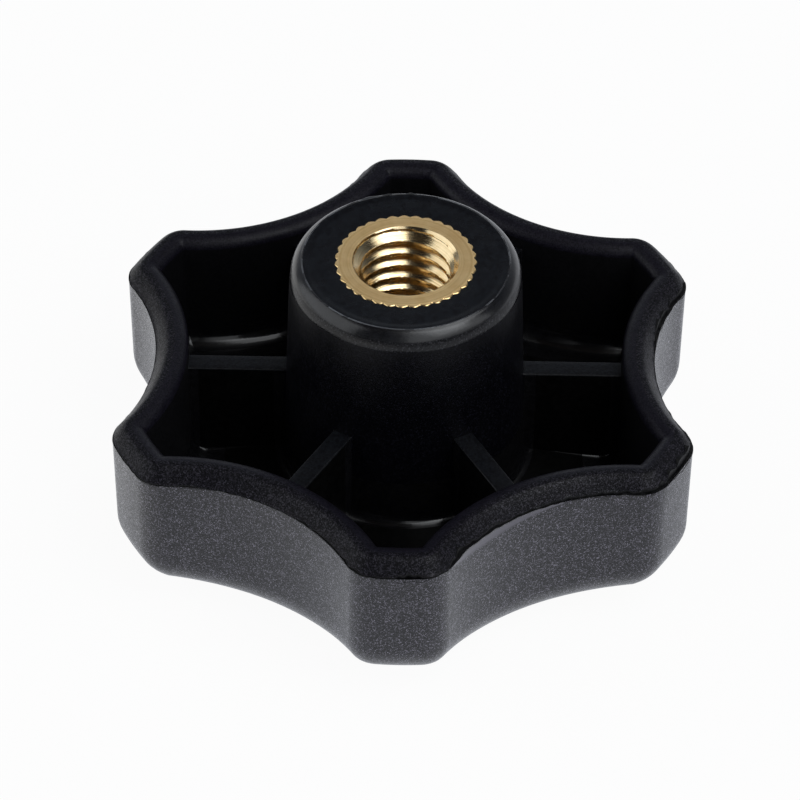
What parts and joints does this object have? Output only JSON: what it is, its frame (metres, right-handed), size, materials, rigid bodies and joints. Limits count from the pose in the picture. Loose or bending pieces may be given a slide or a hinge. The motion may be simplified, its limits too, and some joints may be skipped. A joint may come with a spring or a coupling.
{
  "type": "scallop clamping knob",
  "caption": "Hollow scalloped plastic hand knob with a ribbed central post and a moulded-in knurled brass thread insert.",
  "frame": {"origin": "centre of the flat grip face", "axes": "+Z along the thread's axis, out of its mouth; a lobe points along -Y and a scallop along +X"},
  "size_m": [0.0546, 0.06, 0.029],
  "materials": {
    "black_plastic": "fine spark-eroded grain on the grip side, smoother on the post and glossy in the hollow",
    "brass": "turned face, bright thread"
  },
  "bodies": {
    "root": {"knob_body": "black_plastic", "threaded_insert": "brass"}
  },
  "joints": []
}
